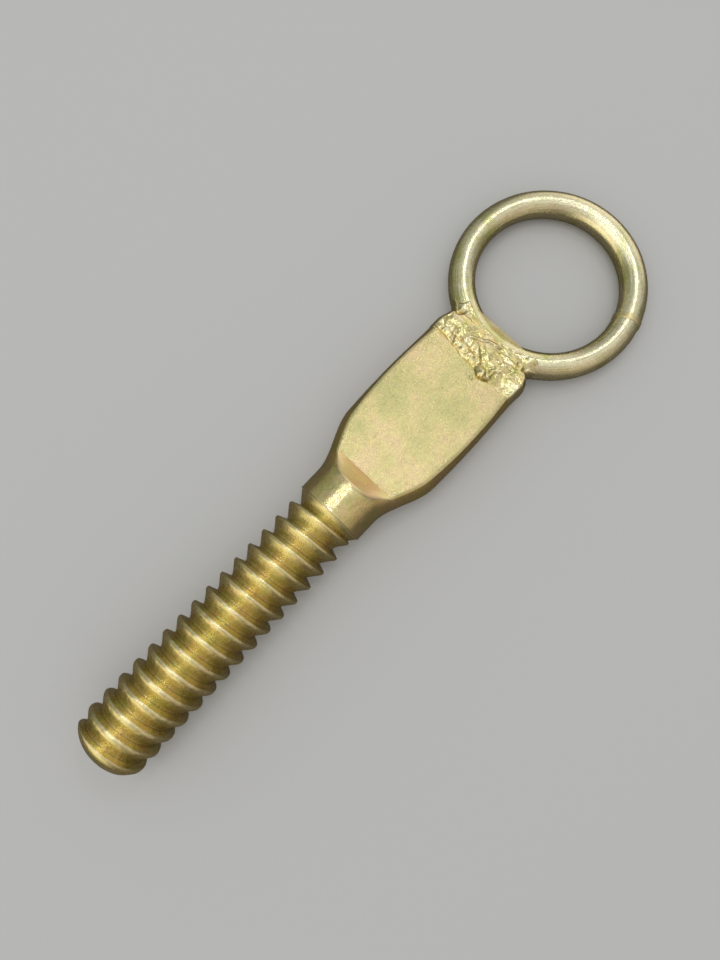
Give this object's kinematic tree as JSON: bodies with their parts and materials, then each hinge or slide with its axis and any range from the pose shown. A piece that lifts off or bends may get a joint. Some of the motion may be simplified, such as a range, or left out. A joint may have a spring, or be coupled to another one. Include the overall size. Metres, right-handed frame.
{
  "type": "eye bolt",
  "caption": "Welded eye bolt: coarse-threaded round shank pressed into a flat paddle, with a round-bar ring welded across the paddle's end as a lifting and tie-down eye.",
  "frame": {"origin": "on the shank's axis, at the neck shoulder where the thread begins", "axes": "+X along the shank's axis towards the ring, +Z square to the paddle's flats, +Y across the paddle; the bolt lies level, as if held with its flats horizontal"},
  "size_m": [0.3166, 0.088, 0.0322],
  "materials": {
    "shank_plating": "satin yellow zinc plating",
    "ring_plating": "satin yellow zinc plating",
    "weld_plating": "satin yellow zinc plating"
  },
  "bodies": {
    "root": {"threaded_shank": "shank_plating", "eye_ring": "ring_plating", "ring_seam_weld": "weld_plating", "front_weld_bead": "weld_plating", "back_weld_bead": "weld_plating"}
  },
  "joints": []
}
